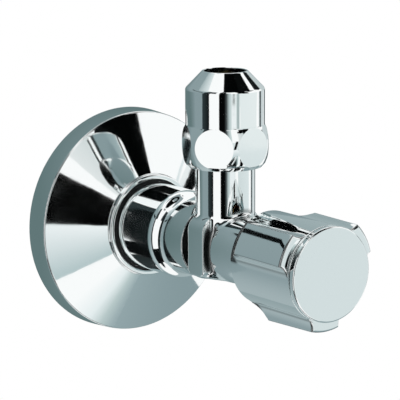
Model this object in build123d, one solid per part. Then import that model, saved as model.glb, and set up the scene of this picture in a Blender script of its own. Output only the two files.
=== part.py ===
"""Angle stop valve for a wall outlet: G 1/2 inlet, compression outlet for a 10 mm tube.

The frame has +Z up along the outlet. The wall face is the plane y = 0, and the valve stands out of the wall
towards -Y. Sizes called reach are distances from the wall face along -Y, sizes called height are along +Z
from the inlet axis. All sizes are in millimetres.
"""

import os
from math import cos, radians, sin, sqrt, tan

from build123d import *

# Inlet, sleeve and barrel of the body
inlet_thread_radius = 10.478
inlet_thread_behind_wall = 14.0
inlet_thread_end = 6.0
inlet_thread_pitch = 1.814
inlet_thread_depth = 1.162
thread_flank_deg = 27.5
thread_chamfer = 1.0
inlet_bore_radius = 6.0
sleeve_radius = 10.95
sleeve_front = 27.2
sleeve_chamfer = 0.5
sleeve_chamfer_length = 1.1
cove_length = 2.6
barrel_radius = 9.2
barrel_front = 38.2

# Waist, collar, keel and pads of the body
waist_radius = 6.9
waist_round = 0.9
collar_radius = 8.2
collar_back = 48.3
collar_front = 64.0
keel_top = -5.8
pad_half_span = 9.0
pad_width = 6.2
pad_bottom = -6.3
pad_corner_radius = 1.4
pad_fillet_start = 4.4
pad_fillet_radius = 3.4

# Seat and chamber inside the body
throat_radius = 4.0
throat_cone_length = 2.0
seat_reach = 38.6
seat_lip_height = 1.0
seat_lip_width = 0.9
chamber_radius = 5.9
headwork_thread_radius = 7.0
headwork_shoulder = 50.0

# Outlet stem
outlet_reach = 43.6
stem_radius = 7.2
outlet_thread_radius = 8.331
outlet_thread_pitch = 1.337
outlet_thread_depth = 0.856
outlet_thread_bottom = 21.0
outlet_top = 33.0
outlet_bore_radius = 4.0
tube_socket_radius = 5.1
tube_socket_floor = 24.0
mouth_depth = 1.9
mouth_radius = 6.4

# Compression nut, pressure ring and olive
nut_across_flats = 19.0
nut_turn_deg = 7.4
nut_bottom = 19.5
nut_bottom_chamfer = 0.9
nut_ball_radius = 10.62
nut_ball_height = 24.9
nut_body_radius = 9.5
nut_shoulder = 38.3
nut_top = 42.5
nut_rim = 0.35
nut_thread_top = 34.4
nut_recess_radius = 7.7
nut_recess_top = 37.1
olive_radius = 6.1
olive_belt = 1.4
olive_cone_length = 1.6
olive_tip = 0.45
ring_length = 2.0

# Wall rosette and its grip ring
rosette_radius = 28.45
rosette_front_radius = 28.06
rosette_rim_depth = 6.28
rosette_neck_radius = 12.97
rosette_hole_radius = 11.6
rosette_cone_end = 12.3
rosette_front = 13.4
rosette_neck_back = 9.6
rosette_sheet = 0.8
rosette_bead = 0.6
grip_ring_width = 1.8

# Headwork housing and its gasket
gasket_thickness = 0.8
housing_hex = 15.0
housing_hex_length = 4.0
housing_neck_radius = 5.2
housing_neck_length = 8.3
seal_bore_radius = 4.6
guide_hex = 7.9

# Piston, seat washer and its screw
piston_travel = 4.0
stroke_margin = 0.4
washer_radius = 5.0
washer_thickness = 2.6
cup_wall = 0.45
cup_depth = 1.6
cup_base = 1.2
shank_radius = 3.6
land_inset = 1.2
land_length = 3.2
piston_hex = 7.8
piston_hex_length = 7.4
piston_floor = 1.2
piston_ring_section = 0.94
seat_screw_radius = 1.5
seat_screw_head_radius = 2.3
seat_screw_head_height = 1.0
seat_screw_length = 7.4

# Spindle and what it carries
drive_thread_radius = 2.5
spindle_flange_radius = 3.85
spindle_flange_length = 1.0
thrust_washer_thickness = 0.5
spindle_radius = 3.0
spindle_ring_inset = 2.3
spindle_ring_pitch = 3.0
spindle_ring_section = 0.8
clip_radius = 4.2
clip_thickness = 0.55
clip_mouth = 3.8
clip_groove_depth = 0.6
spline_inset = 0.25
spline_teeth = 16
spline_depth = 0.25
handle_screw_radius = 1.5
handle_screw_length = 4.5
handle_screw_head_radius = 4.0
handle_screw_head_height = 1.6
screw_slot = 0.8

# Handle and its cap
handle_radius = 11.2
handle_length = 21.5
skirt_wall = 1.5
cap_recess = 2.3
web_thickness = 2.0
boss_radius = 5.0
boss_length = 0.8
lobe_count = 3
lobe_first_deg = 30.0
lobe_half_width = 4.0
lobe_root_fillet = 3.6
lobe_back_radius = 14.3
lobe_front_radius = 13.9
lobe_back_step = 0.2
lobe_ramp_length = 4.8
lobe_ramp_middle = 0.55
lobe_ramp_rise = 0.4
lobe_setback = 0.3
cap_edge = 1.4
cap_seam = 0.3
cap_seam_depth = 1.0
cap_spigot_radius = 8.6
cap_spigot_wall = 1.0
cap_spigot_length = 1.6

# Clearances
run_clearance = 0.05
thread_clearance = 0.03
end_play = 0.2

AXIAL = Plane(origin=(0, 0, 0), x_dir=(1, 0, 0), z_dir=(0, 0, -1))
FACING = Plane(origin=(0, 0, 0), x_dir=(1, 0, 0), z_dir=(0, -1, 0))
UPRIGHT = Plane(origin=(0, -outlet_reach, 0), x_dir=(1, 0, 0), z_dir=(0, -1, 0))
OUTLET_AXIS = Axis((0, -outlet_reach, 0), (0, 0, 1))


def turned(*points, radii=None):
    """Solid turned about the inlet axis from (radius, reach) corners, each with its own rounding radius."""
    if radii:
        outline = FilletPolyline(*points, radius=radii, close=True)
    else:
        outline = Polyline(*points, close=True)
    return revolve(AXIAL * make_face(outline), Axis.Y)


def turned_upright(*points):
    """Solid turned about the outlet axis from (radius, height) corners."""
    return revolve(UPRIGHT * make_face(Polyline(*points, close=True)), OUTLET_AXIS)


def rod(radius, start, end):
    """Round bar on the inlet axis between two reaches."""
    return extrude(FACING.offset(start) * Circle(radius), amount=end - start)


def prism(across_flats, start, end):
    """Hexagonal bar on the inlet axis between two reaches."""
    hexagon = RegularPolygon(across_flats / 2, 6, major_radius=False)
    return extrude(FACING.offset(start) * hexagon, amount=end - start)


def upright_rod(radius, bottom, top):
    """Round bar on the outlet axis between two heights."""
    return extrude(Plane(origin=(0, -outlet_reach, bottom)) * Circle(radius), amount=top - bottom)


def ring_grooves(radius, depth, pitch, start, end):
    """(radius, along) corners of a thread's grooves, as plain rings of its pitch and depth."""
    flank = depth * tan(radians(thread_flank_deg))
    root = pitch / 2 - flank
    sign = 1 if end > start else -1
    count = int(abs(end - start) / pitch)
    margin = (abs(end - start) - count * pitch) / 2
    middles = [start + sign * (margin + (i + 0.5) * pitch) for i in range(count)]
    return [
        corner
        for middle in middles
        for corner in (
            (radius, middle - sign * (flank + root / 2)),
            (radius - depth, middle - sign * root / 2),
            (radius - depth, middle + sign * root / 2),
            (radius, middle + sign * (flank + root / 2)),
        )
    ]


def seal_ring(inner_radius, section, reach):
    """Rubber ring of round section lying in a groove on the inlet axis."""
    circle = Pos(inner_radius + section / 2, reach) * Circle(section / 2)
    return revolve(AXIAL * circle, Axis.Y)


def valve_body():
    """Forged and turned body: threaded inlet, sleeve, barrel, crossing stem, pads and headwork collar."""
    cove_back = sleeve_front + sleeve_chamfer_length
    cove_front = cove_back + cove_length
    cove_edge = sleeve_radius - sleeve_chamfer
    cove_middle = (
        barrel_radius + (cove_edge - barrel_radius) * (1 - sqrt(0.5)),
        cove_front - cove_length * sqrt(0.5),
    )
    thread_start = thread_chamfer - inlet_thread_behind_wall
    shell = Polyline(
        (cove_edge, cove_back),
        (sleeve_radius, sleeve_front),
        (sleeve_radius, inlet_thread_end),
        (inlet_thread_radius, inlet_thread_end),
        *ring_grooves(
            inlet_thread_radius, inlet_thread_depth, inlet_thread_pitch, inlet_thread_end, thread_start
        ),
        (inlet_thread_radius, thread_start),
        (inlet_thread_radius - thread_chamfer, -inlet_thread_behind_wall),
        (0, -inlet_thread_behind_wall),
        (0, collar_front),
        (collar_radius, collar_front),
        (collar_radius, collar_back),
    )
    waist = FilletPolyline(
        (collar_radius, collar_back),
        (waist_radius, collar_back - waist_round),
        (waist_radius, barrel_front + waist_round),
        (barrel_radius, barrel_front),
        radius=waist_round,
    )
    barrel = Line((barrel_radius, barrel_front), (barrel_radius, cove_front))
    cove = ThreePointArc((barrel_radius, cove_front), cove_middle, (cove_edge, cove_back))
    outside = revolve(AXIAL * make_face([shell, waist, barrel, cove]), Axis.Y)

    keel = turned(
        (0, barrel_front), (barrel_radius, barrel_front), (collar_radius, collar_back), (0, collar_back)
    )
    keel_block = Pos(0, 0, keel_top) * Box(
        4 * barrel_radius, 4 * collar_front, 2 * barrel_radius, align=(Align.CENTER, Align.CENTER, Align.MAX)
    )
    outside += keel & keel_block
    outside += upright_rod(stem_radius, keel_top, outlet_thread_bottom)
    outside += marking_pads()
    outside += turned_upright(
        (0, keel_top),
        (0, outlet_top),
        (outlet_thread_radius - thread_chamfer, outlet_top),
        (outlet_thread_radius, outlet_top - thread_chamfer),
        *ring_grooves(
            outlet_thread_radius,
            outlet_thread_depth,
            outlet_thread_pitch,
            outlet_top - thread_chamfer,
            outlet_thread_bottom,
        ),
        (outlet_thread_radius, outlet_thread_bottom),
        (stem_radius, outlet_thread_bottom - (outlet_thread_radius - stem_radius)),
        (stem_radius, keel_top),
    )

    lip_back = seat_reach - seat_lip_height
    throat_back = lip_back - throat_cone_length
    lip_radius = throat_radius + seat_lip_width
    water_way = turned(
        (0, -inlet_thread_behind_wall),
        (inlet_bore_radius, -inlet_thread_behind_wall),
        (inlet_bore_radius, throat_back - throat_cone_length),
        (throat_radius, throat_back),
        (throat_radius, seat_reach),
        (lip_radius, seat_reach),
        (lip_radius, lip_back),
        (chamber_radius, lip_back),
        (chamber_radius, headwork_shoulder),
        (headwork_thread_radius, headwork_shoulder),
        (headwork_thread_radius, collar_front),
        (0, collar_front),
    )
    outlet_way = turned_upright(
        (0, 0),
        (outlet_bore_radius, 0),
        (outlet_bore_radius, tube_socket_floor),
        (tube_socket_radius, tube_socket_floor),
        (tube_socket_radius, outlet_top - mouth_depth),
        (mouth_radius, outlet_top),
        (0, outlet_top),
    )
    return outside - water_way - outlet_way


def marking_pads():
    """Flat plates on both flanks of the crossing, with round lower corners and a cove up into the stem."""
    cove_in = pad_half_span - pad_fillet_radius
    cove_top = pad_fillet_start + pad_fillet_radius
    cove_middle = (
        pad_half_span - pad_fillet_radius * (1 - sqrt(0.5)),
        pad_fillet_start + pad_fillet_radius * sqrt(0.5),
    )
    right = Polyline((0, pad_bottom), (pad_half_span, pad_bottom), (pad_half_span, pad_fillet_start))
    cove = ThreePointArc((pad_half_span, pad_fillet_start), cove_middle, (cove_in, cove_top))
    top = Polyline((cove_in, cove_top), (0, cove_top), (0, pad_bottom))
    half = make_face([right, cove, top])
    plate = extrude(UPRIGHT * (half + mirror(half, Plane.YZ)), amount=pad_width / 2, both=True)

    width = pad_width / 2
    front_view = FilletPolyline(
        (-width, pad_bottom),
        (width, pad_bottom),
        (width, cove_top + pad_corner_radius),
        (-width, cove_top + pad_corner_radius),
        radius=[pad_corner_radius, pad_corner_radius, 0, 0],
        close=True,
    )
    side = Plane(origin=(0, -outlet_reach, 0), x_dir=(0, -1, 0), z_dir=(-1, 0, 0))
    return plate & extrude(side * make_face(front_view), amount=2 * pad_half_span, both=True)


def compression_nut():
    """Ball-shouldered hexagon nut with a long cone that closes on the tube."""
    chamfer_radius = nut_thread_radius + nut_bottom_chamfer / 2
    ball_bottom_height = nut_bottom + nut_bottom_chamfer
    ball_bottom = sqrt(nut_ball_radius**2 - (nut_ball_height - ball_bottom_height) ** 2)
    ball_top_height = nut_ball_height + sqrt(nut_ball_radius**2 - nut_body_radius**2)
    ball = ThreePointArc(
        (ball_bottom, ball_bottom_height),
        (nut_ball_radius, nut_ball_height),
        (nut_body_radius, ball_top_height),
    )
    outline = Polyline(
        (nut_body_radius, ball_top_height),
        (nut_body_radius, nut_shoulder),
        (tube_socket_radius + nut_rim, nut_top),
        (tube_socket_radius, nut_top),
        (tube_socket_radius, nut_recess_top),
        (nut_recess_radius, nut_recess_top),
        (nut_recess_radius, nut_thread_top + nut_thread_radius - nut_recess_radius),
        (nut_thread_radius, nut_thread_top),
        (nut_thread_radius, nut_bottom),
        (chamfer_radius, nut_bottom),
        (ball_bottom, ball_bottom_height),
    )
    turned_nut = revolve(UPRIGHT * make_face([ball, outline]), OUTLET_AXIS)
    hexagon = Rot(0, 0, nut_turn_deg) * RegularPolygon(nut_across_flats / 2, 6, major_radius=False)
    bar = extrude(Plane(origin=(0, -outlet_reach, nut_bottom)) * hexagon, amount=nut_top - nut_bottom)
    return turned_nut & bar


def olive():
    """Brass compression ring with a cone at each end."""
    belt_bottom = olive_bottom + olive_cone_length
    belt_top = belt_bottom + olive_belt
    tip_radius = tube_socket_radius + olive_tip
    return turned_upright(
        (tube_socket_radius, olive_bottom),
        (tip_radius, olive_bottom),
        (olive_radius, belt_bottom),
        (olive_radius, belt_top),
        (tip_radius, belt_top + olive_cone_length),
        (tube_socket_radius, belt_top + olive_cone_length),
    )


def pressure_ring():
    """Steel ring that slides under the nut's shoulder and drives the upper cone of the olive."""
    slope = (olive_radius - tube_socket_radius - olive_tip) / olive_cone_length
    ring_top = nut_recess_top - run_clearance
    olive_top = olive_bottom + 2 * olive_cone_length + olive_belt
    bore_top = tube_socket_radius + olive_tip + 2 * run_clearance - slope * (ring_top - olive_top)
    return turned_upright(
        (bore_top, ring_top),
        (nut_recess_radius - run_clearance, ring_top),
        (nut_recess_radius - run_clearance, ring_top - ring_length),
        (bore_top + slope * ring_length, ring_top - ring_length),
    )


def wall_rosette():
    """Pressed cover with a deep rim, a straight cone and a rolled neck turned back along the sleeve."""
    rise = rosette_cone_end - rosette_rim_depth
    run = rosette_front_radius - rosette_neck_radius
    wall = rosette_sheet * sqrt(rise**2 + run**2) / run
    rim_inner = rosette_front_radius - rosette_sheet
    neck_inner = rosette_hole_radius + rosette_sheet
    cone_at_neck = rosette_cone_end + (rosette_neck_radius - neck_inner) * rise / run - wall
    cone_at_rim = rosette_rim_depth + (rosette_front_radius - rim_inner) * rise / run - wall
    return turned(
        (rosette_radius, 0),
        (rosette_front_radius, rosette_rim_depth),
        (rosette_neck_radius, rosette_cone_end),
        (rosette_neck_radius, rosette_front),
        (rosette_hole_radius, rosette_front),
        (rosette_hole_radius, rosette_neck_back),
        (neck_inner, rosette_neck_back),
        (neck_inner, cone_at_neck),
        (rim_inner, cone_at_rim),
        (rosette_radius - rosette_sheet, 0),
        radii=[0, rosette_sheet / 2, 0, rosette_bead, rosette_bead, 0, 0, 0, 0, 0],
    )


def grip_ring():
    """Rubber ring inside the rosette's neck that holds it on the sleeve by friction."""
    back = (rosette_neck_back + rosette_front - grip_ring_width) / 2
    return turned(
        (sleeve_radius + run_clearance, back),
        (rosette_hole_radius - thread_clearance, back),
        (rosette_hole_radius - thread_clearance, back + grip_ring_width),
        (sleeve_radius + run_clearance, back + grip_ring_width),
    )


def headwork_housing():
    """Headwork screwed into the collar: seal bore and hexagon guide for the piston, neck for the spindle."""
    thread = rod(headwork_thread_radius - thread_clearance, headwork_shoulder + end_play, housing_hex_back)
    housing = thread + prism(housing_hex, housing_hex_back, housing_hex_back + housing_hex_length)
    housing += rod(housing_neck_radius, housing_hex_back, housing_neck_end)
    housing -= rod(seal_bore_radius, headwork_shoulder, seal_bore_end)
    housing -= prism(guide_hex, seal_bore_end, thrust_shoulder)
    return housing - rod(spindle_radius + run_clearance, thrust_shoulder, housing_neck_end)


def headwork_gasket():
    """Fibre ring between the collar's end and the headwork's hexagon."""
    return turned(
        (headwork_thread_radius + run_clearance, collar_front),
        (collar_radius, collar_front),
        (collar_radius, housing_hex_back),
        (headwork_thread_radius + run_clearance, housing_hex_back),
    )


def valve_piston():
    """Piston that the hexagon guide keeps from turning: washer cup, sealed land, hexagon and drive thread."""
    washer_front = seat_face + washer_thickness
    cup_radius = washer_radius + run_clearance + cup_wall
    groove = piston_ring_section / 2 + run_clearance
    land_radius = seal_bore_radius - 2 * run_clearance
    piston = turned(
        (0, washer_front),
        (washer_radius + run_clearance, washer_front),
        (washer_radius + run_clearance, washer_front - cup_depth),
        (cup_radius, washer_front - cup_depth),
        (cup_radius, washer_front + cup_base),
        (shank_radius, washer_front + cup_base),
        (shank_radius, land_back),
        (land_radius, land_back),
        (land_radius, piston_ring_reach - groove),
        (piston_groove_radius, piston_ring_reach - groove),
        (piston_groove_radius, piston_ring_reach + groove),
        (land_radius, piston_ring_reach + groove),
        (land_radius, land_front),
        (0, land_front),
    )
    piston += prism(piston_hex, land_front, piston_front)
    piston -= rod(drive_thread_radius + run_clearance, piston_bore_floor, piston_front)
    tapped_end = seat_face + seat_screw_length + end_play
    return piston - rod(seat_screw_radius + thread_clearance, washer_front, tapped_end)


def seat_washer():
    """Rubber disc that closes on the seat."""
    disc = rod(washer_radius, seat_face, seat_face + washer_thickness)
    return disc - rod(seat_screw_radius + run_clearance, seat_face, seat_face + washer_thickness)


def slotted_screw(radius, head_radius, head_height, head_back, direction, length):
    """Screw with a slotted round head; direction is +1 when the shank runs away from the wall."""
    slot = Box(3 * head_radius, screw_slot / 2, screw_slot, align=(Align.CENTER, Align.CENTER, Align.CENTER))
    if direction > 0:
        head = rod(head_radius, head_back - head_height, head_back)
        shank = rod(radius, head_back, head_back + length)
        slot_reach = head_back - head_height + screw_slot / 4
    else:
        head = rod(head_radius, head_back, head_back + head_height)
        shank = rod(radius, head_back - length, head_back)
        slot_reach = head_back + head_height - screw_slot / 4
    return head + shank - Pos(0, -slot_reach, 0) * slot


def spindle():
    """Spindle that turns but does not rise: drive thread, thrust flange, sealed shank and splined end."""
    shank = turned(
        (0, spindle_tip),
        (drive_thread_radius, spindle_tip),
        (drive_thread_radius, spindle_flange_back),
        (spindle_flange_radius, spindle_flange_back),
        (spindle_flange_radius, spindle_flange_front),
        (spindle_radius, spindle_flange_front),
        (spindle_radius, spline_back),
        (0, spline_back),
    )
    groove = spindle_ring_section / 2 + run_clearance
    for reach in spindle_ring_reaches:
        ring = rod(2 * spindle_radius, reach - groove, reach + groove)
        shank -= ring - rod(spindle_groove_radius, reach - groove, reach + groove)
    clip_cut = rod(2 * spindle_radius, clip_back, clip_back + clip_thickness)
    shank -= clip_cut - rod(clip_groove_radius, clip_back, clip_back + clip_thickness)
    shank += extrude(FACING.offset(spline_back) * spline_section(0), amount=spline_front - spline_back)
    tapped_floor = web_front - handle_screw_length - end_play
    return shank - rod(handle_screw_radius + thread_clearance, tapped_floor, spline_front)


def spline_section(clearance):
    """Toothed section of the spindle's end, grown by a clearance for the bore that takes it."""
    outer = spindle_radius + clearance
    inner = outer - spline_depth
    step = 180 / spline_teeth
    corners = [(outer if i % 2 else inner, radians(i * step)) for i in range(2 * spline_teeth)]
    points = [(radius * cos(angle), radius * sin(angle)) for radius, angle in corners]
    return make_face(Polyline(*points, close=True))


def retaining_clip():
    """Spring clip in the spindle's groove outside the housing's neck, open on one side."""
    disc = rod(clip_radius, clip_back, clip_back + clip_thickness)
    disc -= rod(clip_groove_radius + thread_clearance, clip_back, clip_back + clip_thickness)
    mouth = Box(clip_mouth, 2 * clip_thickness, 2 * clip_radius)
    return disc - Pos(0, -clip_back - clip_thickness / 2, -clip_radius) * mouth


def handle():
    """Moulded handle: round skirt with three grip lobes that rise from the back rim, web and splined boss."""
    section = Circle(handle_radius)
    for i in range(lobe_count):
        angle = lobe_first_deg + i * 360 / lobe_count
        section += Rot(0, 0, angle) * Rectangle(
            lobe_back_radius + skirt_wall, 2 * lobe_half_width, align=(Align.MIN, Align.CENTER)
        )
    roots = [v for v in section.vertices() if abs(Vector(v).length - handle_radius) < run_clearance]
    section = fillet(roots, lobe_root_fillet)
    ramp_start = handle_radius + lobe_back_step
    ramp_end = handle_back + lobe_ramp_length
    ramp_middle = (
        ramp_start + (lobe_back_radius - ramp_start) * lobe_ramp_rise,
        handle_back + lobe_ramp_length * lobe_ramp_middle,
    )
    ramp = ThreePointArc((ramp_start, handle_back), ramp_middle, (lobe_back_radius, ramp_end))
    rest = Polyline(
        (lobe_back_radius, ramp_end),
        (lobe_front_radius, lobe_front),
        (0, lobe_front),
        (0, handle_back),
        (ramp_start, handle_back),
    )
    envelope = revolve(AXIAL * make_face([ramp, rest]), Axis.Y)
    bar = extrude(FACING.offset(handle_back) * section, amount=lobe_front - handle_back, dir=(0, -1, 0))
    grip = (envelope & bar) + rod(handle_radius, web_back, handle_front)

    hollow = rod(handle_radius - skirt_wall, handle_back, web_back)
    hollow -= rod(boss_radius, web_back - boss_length, web_back)
    grip -= hollow
    grip -= rod(cap_spigot_radius + run_clearance, web_front, handle_front)
    boss_back = FACING.offset(web_back - boss_length)
    return grip - extrude(boss_back * spline_section(run_clearance), amount=boss_length + web_thickness)


def handle_cap():
    """Plain disc that snaps into the handle's front with a narrow seam behind its edge."""
    seam_radius = handle_radius - cap_seam_depth
    seam_front = handle_front + cap_seam
    spigot_back = handle_front - cap_spigot_length
    return turned(
        (0, handle_front),
        (cap_spigot_radius - cap_spigot_wall, handle_front),
        (cap_spigot_radius - cap_spigot_wall, spigot_back),
        (cap_spigot_radius, spigot_back),
        (cap_spigot_radius, handle_front),
        (seam_radius, handle_front),
        (seam_radius, seam_front),
        (handle_radius, seam_front),
        (handle_radius, seam_front + cap_edge),
        (0, seam_front + cap_edge),
    )


# Places that follow from the sizes above
nut_thread_radius = outlet_thread_radius + run_clearance
mouth_rise = mouth_depth / (mouth_radius - tube_socket_radius)
olive_bottom = outlet_top - mouth_depth + (olive_tip + 2 * run_clearance) * mouth_rise
housing_hex_back = collar_front + gasket_thickness
seat_face = seat_reach + run_clearance
land_back = headwork_shoulder + land_inset
land_front = land_back + land_length
seal_bore_end = land_front + piston_travel + stroke_margin
piston_front = land_front + piston_hex_length
piston_bore_floor = land_back - piston_floor
piston_ring_reach = land_back + land_length / 2
piston_groove_radius = seal_bore_radius - run_clearance - piston_ring_section
spindle_tip = piston_bore_floor + piston_travel + stroke_margin
spindle_flange_back = piston_front + piston_travel + stroke_margin
spindle_flange_front = spindle_flange_back + spindle_flange_length
thrust_shoulder = spindle_flange_front + thrust_washer_thickness
spindle_ring_inner = thrust_shoulder + spindle_ring_inset
spindle_ring_reaches = (spindle_ring_inner, spindle_ring_inner + spindle_ring_pitch)
spindle_groove_radius = spindle_radius - spindle_ring_section
housing_neck_end = thrust_shoulder + housing_neck_length
clip_back = housing_neck_end + end_play
clip_groove_radius = spindle_radius - clip_groove_depth
spline_back = clip_back + clip_thickness + spline_inset
web_back = spline_back + end_play + boss_length
web_front = web_back + web_thickness
spline_front = web_front - end_play
handle_front = web_front + cap_recess
handle_back = handle_front - handle_length
lobe_front = handle_front - lobe_setback

thrust_washer = turned(
    (spindle_radius + run_clearance, spindle_flange_front),
    (spindle_flange_radius, spindle_flange_front),
    (spindle_flange_radius, thrust_shoulder - thread_clearance),
    (spindle_radius + run_clearance, thrust_shoulder - thread_clearance),
)
seat_screw = slotted_screw(
    seat_screw_radius, seat_screw_head_radius, seat_screw_head_height, seat_face, 1, seat_screw_length
)
handle_screw = slotted_screw(
    handle_screw_radius,
    handle_screw_head_radius,
    handle_screw_head_height,
    web_front,
    -1,
    handle_screw_length,
)

pieces = {
    "valve_body": valve_body(),
    "wall_rosette": wall_rosette(),
    "rosette_grip_ring": grip_ring(),
    "compression_nut": compression_nut(),
    "pressure_ring": pressure_ring(),
    "olive": olive(),
    "headwork_housing": headwork_housing(),
    "headwork_gasket": headwork_gasket(),
    "valve_piston": valve_piston(),
    "piston_o_ring": seal_ring(piston_groove_radius, piston_ring_section, piston_ring_reach),
    "seat_washer": seat_washer(),
    "seat_screw": seat_screw,
    "spindle": spindle(),
    "spindle_o_ring_inner": seal_ring(spindle_groove_radius, spindle_ring_section, spindle_ring_reaches[0]),
    "spindle_o_ring_outer": seal_ring(spindle_groove_radius, spindle_ring_section, spindle_ring_reaches[1]),
    "thrust_washer": thrust_washer,
    "retaining_clip": retaining_clip(),
    "handle": handle(),
    "handle_screw": handle_screw,
    "handle_cap": handle_cap(),
}

os.makedirs("parts", exist_ok=True)
for name, piece in pieces.items():
    export_step(piece, f"parts/{name}.step")
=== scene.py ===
import math

import bpy
import numpy as np
from mathutils import Matrix, Vector


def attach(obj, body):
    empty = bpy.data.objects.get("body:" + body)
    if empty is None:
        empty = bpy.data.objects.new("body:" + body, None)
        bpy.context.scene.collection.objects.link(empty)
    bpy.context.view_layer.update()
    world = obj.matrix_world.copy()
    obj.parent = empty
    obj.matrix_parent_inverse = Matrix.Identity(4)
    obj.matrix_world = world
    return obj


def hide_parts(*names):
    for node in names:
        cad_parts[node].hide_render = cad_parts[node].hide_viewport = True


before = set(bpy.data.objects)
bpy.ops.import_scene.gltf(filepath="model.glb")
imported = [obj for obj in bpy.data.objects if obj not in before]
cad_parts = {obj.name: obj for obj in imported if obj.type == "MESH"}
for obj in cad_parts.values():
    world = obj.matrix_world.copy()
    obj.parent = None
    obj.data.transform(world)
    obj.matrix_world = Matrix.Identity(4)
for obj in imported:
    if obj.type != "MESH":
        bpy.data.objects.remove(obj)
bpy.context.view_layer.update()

# Studio
# A white sweep with a pale floor well below the valve, as product pictures of chrome are lit: the metal
# mirrors the white room and a set of grey and black cards that stand around it, out of the picture.
scene = bpy.context.scene
scene.view_settings.view_transform = "Standard"
studio_centre = (0, -0.04, 0)
floor_half, floor_height = 6.0, -0.30


def linear(code):
    """Linear RGBA from an sRGB hex code, by the standard sRGB curve."""
    parts = np.array([int(code[i : i + 2], 16) for i in (1, 3, 5)]) / 255
    low, high = parts / 12.92, ((parts + 0.055) / 1.055) ** 2.4
    return (*np.where(parts <= 0.04045, low, high), 1.0)


def add_node(tree, kind, values=None, **settings):
    """One shader node with its settings, its inputs set to constants or linked from other outputs."""
    node = tree.nodes.new(kind)
    for key, value in settings.items():
        setattr(node, key, value)
    for key, value in (values or {}).items():
        if isinstance(value, bpy.types.NodeSocket):
            tree.links.new(value, node.inputs[key])
        else:
            node.inputs[key].default_value = value
    return node


def new_material(name):
    """Empty node material and its tree."""
    material = bpy.data.materials.new(name)
    material.use_nodes = True
    material.node_tree.nodes.clear()
    return material, material.node_tree


def seen_by(tree, *kinds):
    """One where the ray that meets a surface is of one of these kinds, and otherwise zero."""
    path = add_node(tree, "ShaderNodeLightPath")
    share = path.outputs[kinds[0]]
    for kind in kinds[1:]:
        either = add_node(tree, "ShaderNodeMath", {0: share, 1: path.outputs[kind]}, operation="MAXIMUM")
        share = either.outputs[0]
    return share


world = bpy.data.worlds.new("white studio")
world.use_nodes = True
scene.world = world
tree = world.node_tree
tree.nodes.clear()
seen = seen_by(tree, "Is Camera Ray", "Is Glossy Ray", "Is Transmission Ray")
fill = add_node(tree, "ShaderNodeBackground", {"Color": linear("#ffffff"), "Strength": 0.6})
white = add_node(tree, "ShaderNodeBackground", {"Color": linear("#ffffff"), "Strength": 1.0})
mixed = add_node(tree, "ShaderNodeMixShader", {0: seen, 1: fill.outputs[0], 2: white.outputs[0]})
add_node(tree, "ShaderNodeOutputWorld", {"Surface": mixed.outputs[0]})

paper, tree = new_material("pale studio paper")
seen = seen_by(tree, "Is Camera Ray", "Is Glossy Ray")
matt = add_node(tree, "ShaderNodeBsdfDiffuse", {"Color": linear("#e9ebec")})
glow = add_node(tree, "ShaderNodeEmission", {"Color": linear("#ffffff"), "Strength": 1.0})
mixed = add_node(tree, "ShaderNodeMixShader", {0: seen, 1: matt.outputs[0], 2: glow.outputs[0]})
add_node(tree, "ShaderNodeOutputMaterial", {"Surface": mixed.outputs[0]})
floor_corners = [
    (-floor_half, -floor_half, floor_height),
    (floor_half, -floor_half, floor_height),
    (floor_half, floor_half, floor_height),
    (-floor_half, floor_half, floor_height),
]
floor_mesh = bpy.data.meshes.new("studio_floor")
floor_mesh.from_pydata(floor_corners, [], [(0, 1, 2, 3)])
floor_mesh.materials.append(paper)
floor = bpy.data.objects.new("studio_floor", floor_mesh)
scene.collection.objects.link(floor)
floor.visible_glossy = False

card_paint, tree = new_material("matt card paint")
shade = add_node(tree, "ShaderNodeAttribute", attribute_name="shade")
glow = add_node(tree, "ShaderNodeEmission", {"Color": shade.outputs["Color"], "Strength": 1.0})
add_node(tree, "ShaderNodeOutputMaterial", {"Surface": glow.outputs[0]})


def grid_faces(rows, columns, wrap_rows=True, wrap_columns=True, flip=False):
    """Quads of a grid of points that is kept row by row: a point, the one in the next row, the one beside
    that and the one beside the first. A wrapped side goes on at its start, and a flip turns them round."""
    row = np.arange(rows if wrap_rows else rows - 1)[:, None]
    column = np.arange(columns if wrap_columns else columns - 1)[None]
    after, beside = (row + 1) % rows, (column + 1) % columns
    here, there = row * columns, after * columns
    ring = [here + column, there + column, there + beside, here + beside]
    faces = np.stack(np.broadcast_arrays(*ring), axis=-1).reshape(-1, 4)
    return faces[:, [0, 3, 2, 1]] if flip else faces


def hang_card(name, points, faces, paint):
    """Card mesh with its paint, seen by mirrors alone."""
    mesh = bpy.data.meshes.new(name)
    mesh.from_pydata(points.tolist(), [], faces.tolist())
    mesh.materials.append(card_paint)
    mesh.attributes.new("shade", "FLOAT_COLOR", "POINT").data.foreach_set("color", paint.ravel())
    piece = bpy.data.objects.new(name, mesh)
    scene.collection.objects.link(piece)
    piece.visible_camera = False
    piece.visible_diffuse = False
    piece.visible_shadow = False
    piece.visible_transmission = False


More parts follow.
